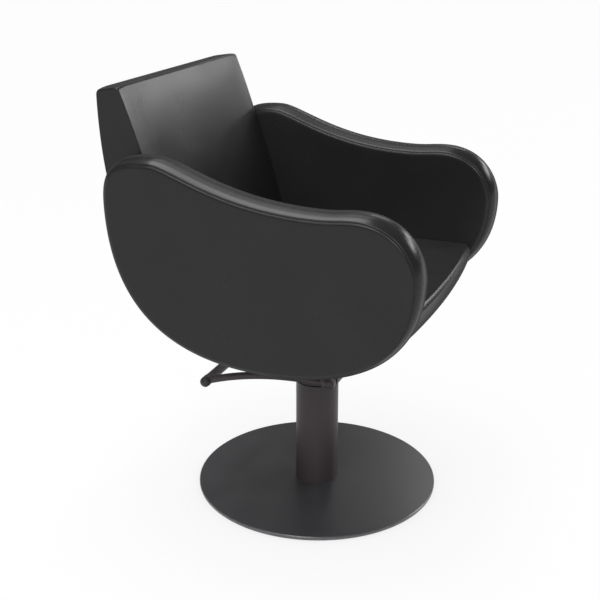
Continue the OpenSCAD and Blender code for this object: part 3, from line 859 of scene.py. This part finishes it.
class Finishes:
    """Every finish of the chair, one material each."""

    RECIPES: dict[Slot, Leather | Paint | Metal | Moulded | Timber] = {
        Slot.LEATHER: Leather(
            "black_hide", (0.019, 0.019, 0.0194), roughness=0.24, specular=0.255,
            cell=0.0013, relief=0.00002, pitch=0.0046,
        ),
        Slot.BASE_PAINT: Paint(
            "anthracite_paint", (0.048, 0.0483, 0.0525), roughness=0.31, specular=1.0,
            peel=0.000012, scuffed=0.5, rim=0.2482,
        ),
        Slot.COLUMN_PAINT: Paint(
            "column_black", (0.059, 0.0488, 0.051), roughness=0.42, specular=0.31,
            peel=0.000012, scuffed=0.4,
        ),
        Slot.CAST_HEAD: Paint(
            "cast_black", (0.03, 0.03, 0.03), roughness=0.5, specular=0.5, peel=0.00012, scuffed=0.2
        ),
        Slot.CHROME: Metal("bright_chrome", (0.72, 0.73, 0.75), roughness=0.1, scuffed=0.8),
        Slot.STEEL: Metal("zinc_steel", (0.55, 0.56, 0.58), roughness=0.32, scuffed=0.6),
        Slot.BRACKET_PAINT: Paint(
            "bracket_black", (0.03, 0.03, 0.03), roughness=0.5, specular=0.5, peel=0.00004, scuffed=0.3
        ),
        Slot.RUBBER: Moulded("black_rubber", (0.018, 0.018, 0.018), roughness=0.75, relief=0.00006),
        Slot.CAP_PLASTIC: Moulded("cap_black", (0.025, 0.025, 0.026), roughness=0.5, relief=0.00005),
        Slot.BRONZE: Metal("turned_bronze", (0.6, 0.42, 0.2), roughness=0.35, scuffed=0.5),
        Slot.PLYWOOD: Timber("raw_plywood", (0.58, 0.42, 0.26), ply=0.0015),
    }

    def __init__(self) -> None:
        """Build the materials."""
        self.made = {slot: recipe.material() for slot, recipe in self.RECIPES.items()}

    def dress(self, piece: bpy.types.Object, slot: Slot) -> None:
        """Give a piece one finish."""
        piece.data.materials.clear()
        piece.data.materials.append(self.made[slot])

    def dress_frame(self) -> None:
        """Give every CAD node the finish of its slot in the record."""
        for row in frame["record"]["subparts"]:
            self.dress(frame["nodes"][row["node"]], Slot(row["material_slot"]))


def settle(piece: bpy.types.Object, finishes: Finishes, body: str, fill: float, *nodes: str) -> None:
    """Dress an upholstered piece and put it on its body.

    Args:
        piece: The finished piece.
        finishes: The finishes.
        body: CAD body that carries it.
        fill: How tight the padding is, from 0 to 1; not used.
        *nodes: CAD nodes that it stands for.
    """
    finishes.dress(piece, Slot.LEATHER)
    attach(piece, body)
    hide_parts(*nodes)
    LOG.info("%s: %d faces on %s", piece.name, len(piece.data.polygons), body)


@dataclass
class ArmPanel:
    """A padded side panel: two faces and a crowned band, sewn along two seams.

    Attributes:
        side: Which panel.
        inner: From the middle of the chair to the inner seam.
        thick: From seam to seam.
        crown: How far the band swells at its middle.
        grid: Size of the cells of the faces.
        ripple: Depth of the slow unevenness of the faces.
        ripple_scale: How often it changes in a metre.
        spans: Side outline along the seams.
        profile: From a face to the middle of the band: (past the seam plane, grown, seam).
    """

    side: Side
    inner: float = 254.0
    thick: float = 60.0
    crown: float = 10.0
    grid: float = 34.0
    ripple: float = 0.35
    ripple_scale: float = 9.0
    spans: tuple[Span, ...] = (
        Span((290, 662), (290, 727), (250, 733), (199, 733), 12),
        Span((199, 733), (157, 733), (70, 665.7), (-110, 665.7), 26),
        Span((-110, 665.7), (-139, 665.7), (-154, 670), (-179, 670), 6),
        Span((-179, 670), (-257, 670), (-286, 608), (-286, 570), 16),
        Span((-286, 570), (-286, 422), (-164, 373), (-18, 373), 32),
        Span((-18, 373), (175, 373), (290, 463), (290, 662), 36),
    )
    profile: tuple[tuple[float, float, float], ...] = (
        (3.0, -32.0, 0.0), (3.0, -22.0, 0.0), (3.0, -14.0, 0.0), (2.97, -10.0, 0.0), (2.8, -7.0, 0.0),
        (2.45, -5.0, 0.0), (1.85, -3.4, 0.0), (1.2, -2.4, 0.0), (0.55, -1.75, 0.1), (0.25, -2.2, 0.6),
        (0.0, -3.2, 1.0), (-0.25, -2.6, 1.0), (-0.5, -1.1, 0.6), (-0.8, 0.0, 0.2), (-1.4, 0.9, 0.0),
        (-2.4, 1.85, 0.0), (-4.0, 3.0, 0.0), (-7.0, 4.85, 0.0), (-11.0, 6.8, 0.0), (-16.0, 8.5, 0.0),
        (-22.0, 9.6, 0.0),
    )

    def build(self) -> bpy.types.Object:
        """Model the panel.

        Returns:
            The piece.
        """
        outline = Outline([p for span in self.spans for p in span.points()])
        sign = self.side.value
        outer = self.inner + self.thick
        stops = [(outer + x, grow, seam) for x, grow, seam in self.profile]
        stops.append((self.inner + self.thick / 2, self.crown, 0.0))
        stops += [(self.inner - x, grow, seam) for x, grow, seam in reversed(self.profile)]
        x, grow, seam = stops[0]
        skin = Skin(outline.at(sign * x, grow), seam)
        for x, grow, seam in stops[1:]:
            skin.ring(outline.at(sign * x, grow), seam)
        for row in (skin.rows[0], skin.rows[-1]):
            for vert in skin.cap(row, self.grid):
                ease = abs(noise.noise(vert.co * self.ripple_scale)) * self.ripple * MM
                vert.co.x -= sign * ease if abs(vert.co.x) > outer * MM else -sign * ease
        piece = skin.finish(f"{self.side.name.lower()}_arm_cover")
        rounded(piece, 1)
        return piece

    def dress(self, piece: bpy.types.Object, finishes: Finishes) -> None:
        """Upholster the panel and fix it to the seat body."""
        nodes = [f"{self.side.name.lower()}_arm_{part}" for part in ("inner_pad", "outer_pad", "band")]
        settle(piece, finishes, "seat", 0.95, *nodes)


@dataclass
class SeatCushion:
    """Seat cushion with a rolled front edge that bows forward.

    Attributes:
        half: Half the width.
        top: Height of the flat top.
        bow: How far the front bows forward in the middle.
        rear: Rearmost point of the top.
        low: Height of the flat underside.
        roll: Radius of the rolled sides.
        edge: Depth and height of the rolled front edge.
        flat: How much flatter than a quarter ellipse that edge is.
        front: Side view of the front and the underside of the seat.
        wrap: Share of it that the cushion covers.
        nose_drop: How far the nose moves back for each mm that the sides roll down.
        rear_round: Radius of the rear edge.
        tuck: How far the foot of the rear leans in.
        rear_line: Points above the foot and below the top: (in from the rear, away from foot or top).
        crown: Rise of the top in the middle.
        lip: Depth of the lip under the front.
        lip_round: First step of the lip, back and up.
        grid: Size of the cells of the two ends.
        soft_edge: Foremost point of the top that swells, at the sides.
        soft_front: Lowest and rearmost place on the front that swells.
        soft: Furthest swell of the top and of the front.
        top_steps: Edges along the top.
        edge_steps: Edges round the front edge.
        front_steps: Edges down the front.
        foot_steps: Edges along the underside.
    """

    half: float = 250.6
    top: float = 481.0
    bow: float = 15.0
    rear: float = 160.5
    low: float = 440.0
    roll: float = 7.0
    edge: Point = (9.0, 11.5)
    flat: float = 1.35
    front: Span = field(default_factory=lambda: Span((-252, 466), (-252, 418), (-210, 380), (-10, 380), 1))
    wrap: float = 0.3
    nose_drop: float = 0.4
    rear_round: float = 8.0
    tuck: float = 10.0
    rear_line: tuple[Point, Point] = ((6.0, 14.0), (2.0, 12.0))
    crown: float = 2.0
    lip: float = 19.0
    lip_round: Point = (8.0, 4.0)
    grid: float = 60.0
    soft_edge: float = -243.0
    soft_front: Point = (436.0, -225.0)
    soft: Point = (5.0, 1.5)
    top_steps: int = 45
    edge_steps: int = 8
    front_steps: int = 14
    foot_steps: int = 16

    def share(self, x: float) -> float:
        """How much of the bow and the crown is left at distance x from the middle."""
        return 1 - (x / self.half) ** 2

    def front_point(self, t: float, x: float) -> Point:
        """Point of the bowed front at curve fraction t and distance x from the middle."""
        y, z = self.front.at(t)
        return y - self.bow * self.share(x) * max(0.0, 1 - 1.2 * t * t), z

    def section(self, x: float) -> list[Vector]:
        """Closed section across the cushion.

        Args:
            x: Distance from the middle in mm.

        Returns:
            Points in metres, from the rear foot over the top to the front and back along the bottom.
        """
        reach = max(0.0, abs(x) - self.half + self.roll)
        drop = self.roll - math.sqrt(max(0.0, self.roll**2 - reach**2))
        top, sunk = self.top - drop, self.nose_drop * drop
        nose = self.front_point(0.0, x)[0] + sunk
        points = self.rear_edge(top)
        points += self.top_and_edge(top, nose, self.crown * self.share(x))
        points.append((nose, self.front.start[1]))
        for i in range(1, self.front_steps + 1):
            y, z = self.front_point(self.wrap * i / self.front_steps, x)
            points.append((y + sunk * (1 - i / self.front_steps), z))
        y, z = points[-1]
        points += [(y + self.lip_round[0], z + self.lip_round[1]), (y + self.lip, self.low)]
        foot = self.rear - self.tuck - y - self.lip
        for i in range(1, self.foot_steps):
            points.append((y + self.lip + foot * i / self.foot_steps, self.low))
        return [Vector((x, *p)) * MM for p in points]

    def rear_edge(self, top: float) -> list[Point]:
        """Rear of a section and its round upper edge.

        Args:
            top: Height of the top.

        Returns:
            Points from the foot upwards.
        """
        (low_in, up), (high_in, down) = self.rear_line
        points = [(self.rear - self.tuck, self.low)]
        points += [(self.rear - low_in, self.low + up), (self.rear - high_in, top - down)]
        r = self.rear_round
        for a in (0.2, 0.6, 1.0, 1.4):
            points.append((self.rear - r + r * math.cos(a), top - r + r * math.sin(a)))
        return points

    def top_and_edge(self, top: float, nose: float, rise: float) -> list[Point]:
        """Top of a section and its rolled front edge.

        Args:
            top: Height of the top.
            nose: Foremost point.
            rise: Rise of the top in the middle.

        Returns:
            Points from the rear to the front.
        """
        depth, height = self.edge
        start, end = self.rear - self.rear_round - 1, nose + depth
        points = []
        for i in range(1, self.top_steps):
            f = i / self.top_steps
            points.append((start + f * (end - start), top + rise * math.sin(math.pi * f) ** 0.7))
        for i in range(self.edge_steps + 1):
            a = math.pi / 2 * i / self.edge_steps
            ahead, below = math.sin(a) ** self.flat, 1 - math.cos(a) ** self.flat
            points.append((end - depth * ahead, top - height * below))
        return points

    def build(self) -> bpy.types.Object:
        """Model the cushion and swell its cover.

        Returns:
            The piece.
        """
        ends = [self.half - d for d in (0.0, 0.3, 1.2, 2.6, 4.6, 7.0, 12.0)]
        even, count = 236.0, 52
        inner = [-even + 2 * even * i / count for i in range(count + 1)]
        places = [-x for x in ends] + inner + ends[::-1]
        skin = Skin(self.section(places[0]))
        for x in places[1:]:
            skin.ring(self.section(x))
        for row in (skin.rows[0], skin.rows[-1]):
            skin.cap(row, self.grid)
        piece = skin.finish("seat_cover")
        Padding().swell(piece, self.is_held, self.cap)
        rounded(piece, 1)
        return piece

    def is_held(self, point: Vector) -> bool:
        """Tells which points are tucked in or sewn.

        Args:
            point: Place on the cover in mm.

        Returns:
            Whether it stays put.
        """
        low, depth = self.soft_front
        on_top = point.z > self.top - 1 and point.y > self.soft_edge - self.bow * self.share(point.x)
        on_front = low < point.z < self.top - 12 and point.y < depth
        return abs(point.x) > self.half - 6 or point.y > self.rear - 14 or not (on_top or on_front)

    def cap(self, point: Vector) -> float:
        """Furthest that a point of the cover may swell, in mm."""
        return self.soft[0] if point.z > self.top - 2 else self.soft[1]

    def dress(self, piece: bpy.types.Object, finishes: Finishes) -> None:
        """Upholster the cushion and fix it to the seat body."""
        settle(piece, finishes, "seat", 0.8, "seat_cushion")


@dataclass
class BackRest:
    """Leaning back rest: a padded slab with tight edges that stands up between the panels.

    Attributes:
        half: Half the width.
        crown: How far the front swells in the middle.
        droop: How far the top corners drop.
        droop_reach: Width and height over which they do so.
        droop_start: Height at which that starts.
        parting: Depth at the foot, and lean, of the plane that parts the front from the rest.
        grid: Size of the cells of the two sides.
        soft_span: Heights between which the cover swells.
        soft: Furthest swell of the front and of the rear.
        face: Side view of the front.
        rear: Side view of the shell and the rear.
        shell_end: Curve fraction at which the shell ends and the rear starts.
        rear_corner: Upper rear edge.
        front_corner: Upper front edge.
        foot: Underside.
        profile: From a side to the front: (in from the side, grown, seam).
    """

    half: float = 250.6
    crown: float = 2.0
    droop: float = 3.0
    droop_reach: Point = (30.0, 45.0)
    droop_start: float = 800.0
    parting: Point = (203.5, 0.226)
    grid: float = 24.0
    soft_span: Point = (478.0, 838.0)
    soft: Point = (3.5, 2.0)
    face: Span = field(default_factory=lambda: Span((284.3, 847), (233.5, 712), (183, 550), (163, 466), 40))
    rear: Span = field(default_factory=lambda: Span((-10, 380), (250, 380), (332, 587), (332, 837), 1))
    shell_end: float = 0.44
    rear_corner: tuple[Point, ...] = (
        (332.0, 837.0), (331.8, 840.6), (330.8, 844.0), (329.0, 846.6), (326.4, 848.0),
    )
    front_corner: tuple[Point, ...] = (
        (297.0, 852.6), (292.2, 853.2), (289.0, 852.9), (286.6, 851.6), (285.2, 849.6),
    )
    foot: tuple[Point, ...] = ((163.0, 466.0), (180.0, 464.0), (199.0, 464.0), (207.0, 470.0))
    profile: tuple[tuple[float, float, float], ...] = (
        (0.0, -3.6, 0.0), (0.0, -2.6, 0.0), (0.1, -1.7, 0.0), (0.45, -1.0, 0.2), (1.0, -0.55, 0.1),
        (1.7, -0.25, 0.0), (2.8, -0.05, 0.0), (4.6, 0.0, 0.0), (8.0, 0.0, 0.0), (13.0, 0.0, 0.0),
    )

    def outline(self) -> Outline:
        """Side outline.

        Returns:
            The outline, from the lower rear seam up, over the top and down the front.
        """
        rear = self.rear.part(self.shell_end, 1.0, 30)
        start, end = Vector(self.rear_corner[-1]), Vector(self.front_corner[0])
        slope = [tuple(start.lerp(end, f)) for f in (0.2, 0.4, 0.6, 0.8)]
        top = [*self.rear_corner, *slope, *self.front_corner]
        middle = (Vector(self.foot[-1]) + Vector(self.rear.at(self.shell_end))) / 2
        return Outline(rear + top + self.face.points() + [*self.foot, tuple(middle)])

    def build(self) -> bpy.types.Object:
        """Model the back rest and swell its cover.

        Returns:
            The piece.
        """
        outline = self.outline()
        stops = [(-self.half + x, grow, seam) for x, grow, seam in self.profile]
        even, count = 230.0, 46
        stops += [(-even + 2 * even * i / count, 0.0, 0.0) for i in range(count + 1)]
        stops += [(self.half - x, grow, seam) for x, grow, seam in reversed(self.profile)]
        x, grow, seam = stops[0]
        skin = Skin(outline.at(x, grow), seam)
        for x, grow, seam in stops[1:]:
            skin.ring(outline.at(x, grow), seam)
        for vert in [v for row in skin.rows for v in row]:
            self.soften(vert)
        for row in (skin.rows[0], skin.rows[-1]):
            skin.cap(row, self.grid)
        piece = skin.finish("back_cover_leather")
        Padding().swell(piece, self.is_held, self.cap)
        rounded(piece, 1)
        return piece

    def soften(self, vert: bmesh.types.BMVert) -> None:
        """Let the top corners droop and the front swell.

        Args:
            vert: Vertex of the cover.
        """
        foot, top = self.foot[0][1], self.rear_corner[-1][1]
        width, height = self.droop_reach
        inward = self.half - abs(vert.co.x) / MM
        raised = min(1.0, max(0.0, (vert.co.z / MM - self.droop_start) / height))
        vert.co.z -= self.droop * max(0.0, 1 - inward / width) ** 2 * raised * MM
        if vert.co.y < self.front_limit(vert.co.z):
            f = min(1.0, max(0.0, (vert.co.z / MM - foot) / (top - foot)))
            share = 1 - (vert.co.x / MM / self.half) ** 2
            vert.co.y -= self.crown * MM * share * math.sin(math.pi * f) ** 0.8

    def front_limit(self, z: float) -> float:
        """Depth that parts the front face from the rest at one height, in metres."""
        depth, lean = self.parting
        return depth * MM + lean * (z - self.foot[0][1] * MM)

    def is_held(self, point: Vector) -> bool:
        """Tells which points are sewn or tucked."""
        low, high = self.soft_span
        return abs(point.x) > self.half - 4 or point.z < low or point.z > high

    def cap(self, point: Vector) -> float:
        """Furthest that a point of the cover may swell, in mm."""
        front = point.y * MM < self.front_limit(point.z * MM)
        return self.soft[0] if front else self.soft[1]

    def dress(self, piece: bpy.types.Object, finishes: Finishes) -> None:
        """Upholster the back rest and fix it to the seat body."""
        settle(piece, finishes, "seat", 0.9, "back_cushion", "back_cover")


@dataclass
class UnderShell:
    """Upholstered shell that wraps the underside of the tub.

    Attributes:
        seat: Cushion whose front it carries on.
        back: Back rest whose rear it meets.
        thick: Thickness of the shell.
        hole: Half the width of the opening for the mounting block.
        start: Curve fraction of the seat's front at which it starts.
        end: Curve fraction of the back's rear at which it ends.
    """

    seat: SeatCushion
    back: BackRest
    thick: float = 12.0
    hole: float = 122.0
    start: float = 0.306
    end: float = 0.435

    def build(self) -> bpy.types.Object:
        """Model the shell.

        Returns:
            The piece.
        """
        bm = bmesh.new()
        bmesh.ops.create_grid(bm, x_segments=28, y_segments=72, size=0.5)
        for vert in bm.verts:
            x = 2 * vert.co.x * self.seat.half
            f = 2 * vert.co.y
            if f < 0:
                y, z = self.seat.front_point(self.start + (1 - self.start) * (1 + f), x)
            else:
                y, z = self.back.rear.at(self.end * f)
            vert.co = Vector((x, y, z)) * MM
        self.cut_hole(bm)
        bmesh.ops.recalc_face_normals(bm, faces=bm.faces)
        if sum(f.normal.z * f.calc_area() for f in bm.faces) > 0:
            bmesh.ops.reverse_faces(bm, faces=bm.faces)
        piece = piece_from(bm, "under_shell_cover")
        wall = piece.modifiers.new("wall", "SOLIDIFY")
        wall.thickness = self.thick * MM
        wall.offset = -1.0
        return piece

    def cut_hole(self, bm: bmesh.types.BMesh) -> None:
        """Cut the square opening for the mounting block.

        Args:
            bm: The shell.
        """
        for axis in (0, 1):
            for place in (-self.hole, self.hole):
                spot, normal = Vector(), Vector()
                spot[axis], normal[axis] = place * MM, 1.0
                geom = [*bm.verts, *bm.edges, *bm.faces]
                bmesh.ops.bisect_plane(bm, geom=geom, dist=1e-5, plane_co=spot, plane_no=normal)
        limit = (self.hole - 1) * MM
        middles = {face: face.calc_center_median() for face in bm.faces}
        inside = [face for face, middle in middles.items() if max(abs(middle.x), abs(middle.y)) < limit]
        bmesh.ops.delete(bm, geom=inside, context="FACES")

    def dress(self, piece: bpy.types.Object, finishes: Finishes) -> None:
        """Upholster the shell and fix it to the seat body."""
        settle(piece, finishes, "seat", 1.0, "under_shell")


@dataclass
class PumpSpring:
    """Return spring of the pump plunger, which shortens as the lever is pressed.

    Attributes:
        node: CAD node of the spring.
        joint: Joint of the plunger; not used.
        stroke: Travel of the plunger in metres; not used.
    """

    node: str = "plunger_spring"
    joint: str = "plunger_slide"
    stroke: float = 0.0045

    def fit(self) -> None:
        """Give the spring a mesh of its own."""
        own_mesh(frame["nodes"][self.node])


@dataclass(frozen=True)
class SoftBox:
    """A soft rectangular lamp.

    Attributes:
        name: Name of the lamp.
        place: Where it hangs, in metres.
        size: Width and height in metres.
        power: Power in watts.
        aim: Point that it faces, in metres.
    """

    name: str
    place: Place
    size: Point
    power: float
    aim: Place = (0.0, 0.0, 0.6)

    def hang(self) -> None:
        """Add the lamp to the scene, out of sight of the camera."""
        data = bpy.data.lights.new(self.name, "AREA")
        data.shape = "RECTANGLE"
        data.size, data.size_y = self.size
        data.energy = self.power
        lamp = bpy.data.objects.new(self.name, data)
        lamp.location = self.place
        lamp.visible_camera = False
        lamp.rotation_euler = (Vector(self.aim) - Vector(self.place)).to_track_quat("-Z", "Y").to_euler()
        bpy.context.scene.collection.objects.link(lamp)


@dataclass
class Studio:
    """White room, soft lamps and the camera of the photograph.

    Attributes:
        eye: Place of the camera in metres.
        azimuth: Direction of the camera from the chair, in degrees.
        elevation: Its height above the level, in degrees.
        lens: Focal length in mm.
        sensor: Width of the sensor in mm.
        room: Strength of the plain light from all round.
        white: Share of the floor's own white in what is seen of it.
        floor_half: Half the width of the floor in metres.
        floor_matt: How pale the floor is for the light that it throws back.
        shadow: Tone of the painted shadow in the floor's white close to the chair.
        shadow_reach: How far from the chair that tone fades, in metres.
        lamps: The soft boxes.
    """

    eye: Place = (-1.9142, -0.7154, 1.1539)
    azimuth: float = -68.499
    elevation: float = 20.137
    lens: float = 64.678
    sensor: float = 36.0
    room: float = 0.16
    white: float = 0.975
    floor_half: float = 40.0
    floor_matt: float = 0.85
    shadow: float = 0.78
    shadow_reach: float = 0.5
    lamps: tuple[SoftBox, ...] = (
        SoftBox("overhead_near", (-2.4, 0.0, 2.5), (0.7, 2.2), 22.0, aim=(-2.2, 0.0, 0.0)),
        SoftBox("overhead_middle", (-0.35, 0.5, 2.5), (1.3, 1.1), 30.0, aim=(-0.35, 0.5, 0.0)),
        SoftBox("overhead_far", (0.9, 0.5, 2.5), (1.2, 1.1), 6.5, aim=(0.9, 0.5, 0.0)),
        SoftBox("overhead_end", (2.2, 0.5, 2.5), (1.4, 1.1), 1.5, aim=(2.2, 0.5, 0.0)),
        SoftBox("front_box", (4.9, -2.95, 2.51), (2.8, 0.95), 40.0),
        SoftBox("front_end", (3.6, -4.15, 2.9), (2.2, 1.3), 54.0),
        SoftBox("side_strip", (5.8, -1.15, 1.5), (1.4, 0.7), 7.0),
        SoftBox("side_top", (5.54, 0.49, 2.85), (1.3, 0.67), 12.0),
        SoftBox("rear_fill", (-3.3, 0.8, 2.7), (2.4, 1.4), 26.0),
        SoftBox("camera_fill", (-3.2, -1.5, 2.1), (1.4, 1.2), 31.0),
    )

    def build(self) -> None:
        """Set up camera, floor, world and lamps."""
        scene = bpy.context.scene
        scene.view_settings.view_transform = "Standard"
        self.camera(scene)
        self.floor()
        self.world(scene)
        for lamp in self.lamps:
            lamp.hang()

    def camera(self, scene: bpy.types.Scene) -> None:
        """Put the camera where the photograph was taken from.

        Args:
            scene: The scene.
        """
        data = bpy.data.cameras.new("photo_camera")
        data.lens = self.lens
        data.sensor_width = self.sensor
        data.clip_end = 200.0
        camera = bpy.data.objects.new("photo_camera", data)
        scene.collection.objects.link(camera)
        a, e = math.radians(self.azimuth), math.radians(self.elevation)
        back = Vector((math.sin(a) * math.cos(e), -math.cos(a) * math.cos(e), math.sin(e)))
        camera.location = self.eye
        camera.rotation_euler = (-back).to_track_quat("-Z", "Y").to_euler()
        scene.camera = camera

    def floor(self) -> None:
        """Lay a pale floor with a soft shadow, partly real from its matt share and partly painted into its
        white by ambient occlusion.
        """
        bm = bmesh.new()
        bmesh.ops.create_grid(bm, x_segments=2, y_segments=2, size=self.floor_half)
        floor = piece_from(bm, "floor")
        material = bpy.data.materials.new("pale_floor")
        material.use_nodes = True
        tree = material.node_tree
        tree.nodes.clear()
        sheet = Sheet(tree)
        seen = self.seen(sheet)
        matt = sheet.add("BsdfDiffuse", None, Color=shade(WHITE, self.floor_matt))
        # Painted shadow: ambient occlusion darkens the floor's glowing white near the chair towards the
        # shadow tone.
        near = sheet.add("AmbientOcclusion", {"samples": 8}, Distance=self.shadow_reach).outputs["AO"]
        white = sheet.blend(near, shade(WHITE, self.shadow), shade(WHITE, 1.0))
        glow = sheet.add("Emission", None, Color=white, Strength=1.0)
        share = sheet.times(seen, self.white)
        both = sheet.add("MixShader", None, Fac=share, n_1=matt.outputs[0], n_2=glow.outputs[0])
        sheet.add("OutputMaterial", None, Surface=both.outputs[0])
        floor.data.materials.append(material)

    @staticmethod
    def seen(sheet: Sheet) -> Socket:
        """Mask of the rays that show the floor itself.

        Args:
            sheet: Sheet of the floor's material.

        Returns:
            1 for rays from the camera, from gloss and through glass.
        """
        path = sheet.add("LightPath")
        some = sheet.math("MAXIMUM", path.outputs["Is Camera Ray"], path.outputs["Is Glossy Ray"])
        return sheet.math("MAXIMUM", some, path.outputs["Is Transmission Ray"])

    def world(self, scene: bpy.types.Scene) -> None:
        """Surround the chair with white.

        Args:
            scene: The scene.
        """
        world = bpy.data.worlds.new("white_room")
        scene.world = world
        world.use_nodes = True
        tree = world.node_tree
        tree.nodes.clear()
        sheet = Sheet(tree)
        sky = sheet.add("Background", None, Color=shade(WHITE, 1.0), Strength=self.room)
        sheet.add("OutputWorld", None, Surface=sky.outputs[0])


def main() -> None:
    """Set up the studio, then build and dress the chair."""
    logging.basicConfig(level=logging.INFO, format="%(name)s: %(message)s")
    Studio().build()
    finishes = Finishes()
    finishes.dress_frame()
    seat, back = SeatCushion(), BackRest()
    for part in (ArmPanel(Side.RIGHT), ArmPanel(Side.LEFT), seat, back, UnderShell(seat, back)):
        part.dress(part.build(), finishes)
    PumpSpring().fit()


if __name__ == "__main__":
    main()
